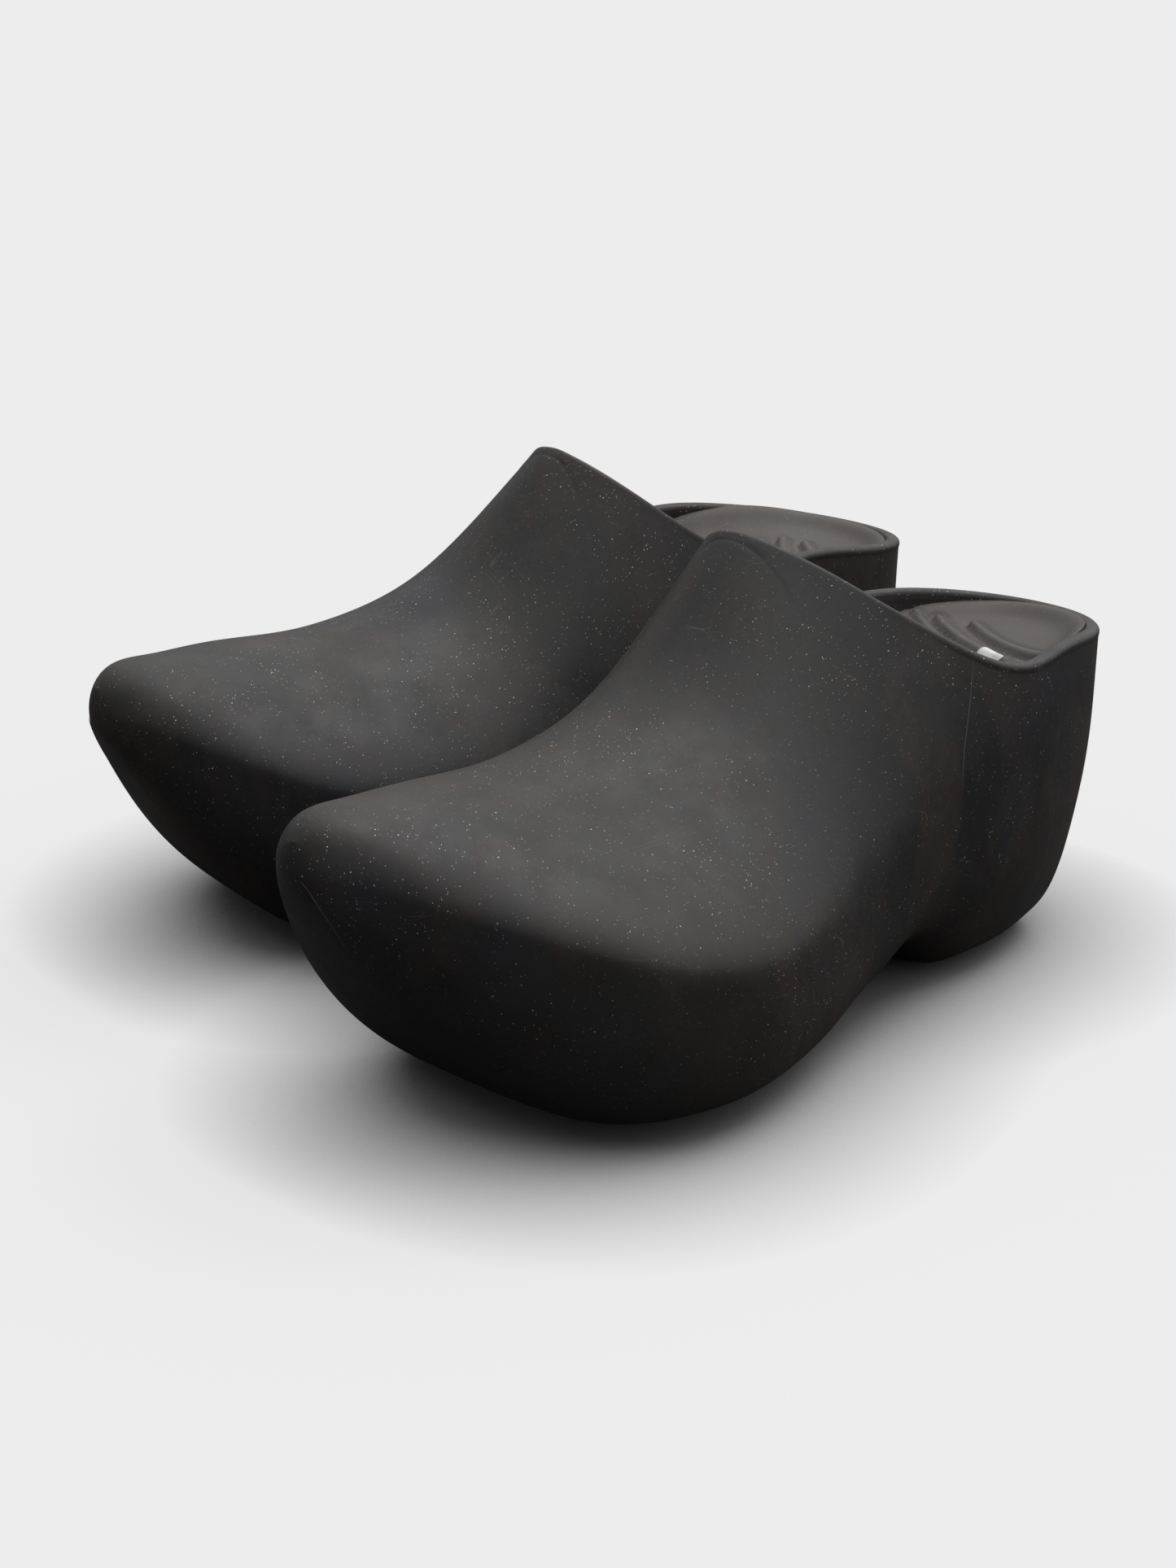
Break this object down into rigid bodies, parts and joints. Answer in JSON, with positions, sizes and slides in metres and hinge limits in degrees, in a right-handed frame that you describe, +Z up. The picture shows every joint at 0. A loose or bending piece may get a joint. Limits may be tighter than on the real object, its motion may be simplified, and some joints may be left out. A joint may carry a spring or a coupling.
{
  "type": "rubber garden clog",
  "caption": "Pair of black rubber slip-on garden clogs with upturned toes, open heels, block heels and lift-out ribbed footbeds.",
  "frame": {"origin": "on the ground at the middle of the pair's bounding box", "axes": "+Z up; the left clog's toe points to -Y and its heel to +Y; the left clog stands at +X and the right clog at -X, turned 10.5 degrees toes-out"},
  "size_m": [0.2698, 0.337, 0.1371],
  "materials": {
    "moulded_rubber": "satin",
    "midsole_foam": "matte",
    "footbed": "matte",
    "tread_rubber": "matte",
    "blank_label": "matte"
  },
  "bodies": {
    "left_clog": {"left_shell": "moulded_rubber", "left_midsole_core": "midsole_foam", "left_forefoot_outsole": "tread_rubber", "left_heel_outsole": "tread_rubber"},
    "left_footbed": {"left_insole": "footbed", "left_size_label": "blank_label"},
    "right_clog": {"right_shell": "moulded_rubber", "right_midsole_core": "midsole_foam", "right_forefoot_outsole": "tread_rubber", "right_heel_outsole": "tread_rubber"},
    "right_footbed": {"right_insole": "footbed"}
  },
  "joints": [
    {"name": "right_clog_lift", "type": "slide", "parent": "left_clog", "child": "right_clog", "axis": [0, 0, 1], "range_m": [0, 0.25]},
    {"name": "left_footbed_lift", "type": "hinge", "parent": "left_clog", "child": "left_footbed", "pos_m": [0.06261, -0.15678, 0.05], "axis": [1, 0, 0], "range_deg": [0, 5]},
    {"name": "right_footbed_lift", "type": "hinge", "parent": "right_clog", "child": "right_footbed", "pos_m": [-0.07624, -0.11577, 0.05], "axis": [0.9833, -0.1822, 0], "range_deg": [0, 5]}
  ]
}
